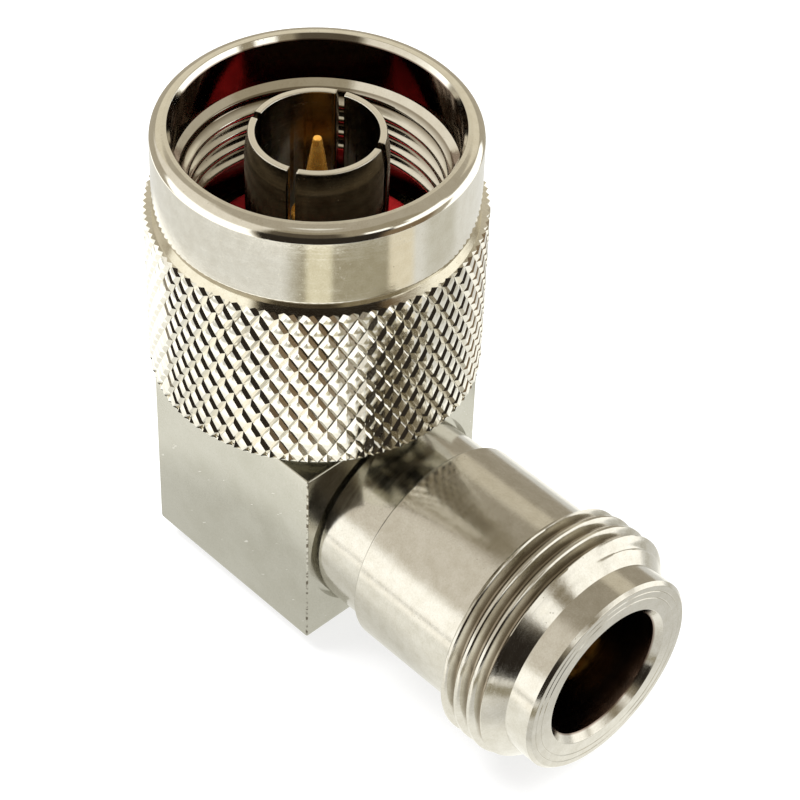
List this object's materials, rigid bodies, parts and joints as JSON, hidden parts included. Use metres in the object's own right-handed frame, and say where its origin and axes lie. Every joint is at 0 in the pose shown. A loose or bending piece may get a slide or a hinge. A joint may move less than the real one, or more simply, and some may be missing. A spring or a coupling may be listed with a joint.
{
  "type": "right-angle coaxial adapter",
  "caption": "Right-angle coaxial adapter: square block body with a knurled coupling nut on the plug and a threaded jack at ninety degrees.",
  "frame": {"origin": "centre of the block's bottom face, straight under the plug's axis", "axes": "+Z along the plug's axis, out of its mouth; +X along the jack's axis, out of its mouth, 7 mm above the bottom face"},
  "size_m": [0.0356, 0.0202, 0.0339],
  "materials": {
    "nickel_block": "nickel-plated brass, fine milled and tumbled",
    "nickel_turned": "nickel-plated brass, satin turned",
    "nickel_nut": "nickel-plated brass, knurled, bright rim",
    "nickel_sleeve": "nickel-plated spring brass, darker and satin",
    "gold": "gold plate",
    "spring_bronze": "plain spring bronze",
    "ptfe": "white PTFE, waxy",
    "red_silicone": "deep red silicone"
  },
  "bodies": {
    "adapter": {"body_block": "nickel_block", "rear_cap": "nickel_turned", "jack_shell": "nickel_turned", "jack_insulator": "ptfe", "jack_contact": "gold", "plug_ferrule": "nickel_sleeve", "plug_insulator": "ptfe", "plug_pin": "gold", "sealing_gasket": "red_silicone", "retaining_ring": "spring_bronze"},
    "nut": {"coupling_nut": "nickel_nut"}
  },
  "joints": [
    {"name": "nut_spin", "type": "hinge", "parent": "adapter", "child": "nut", "pos_m": [0, 0, 0.0244], "axis": [0, 0, 1], "continuous": true}
  ]
}
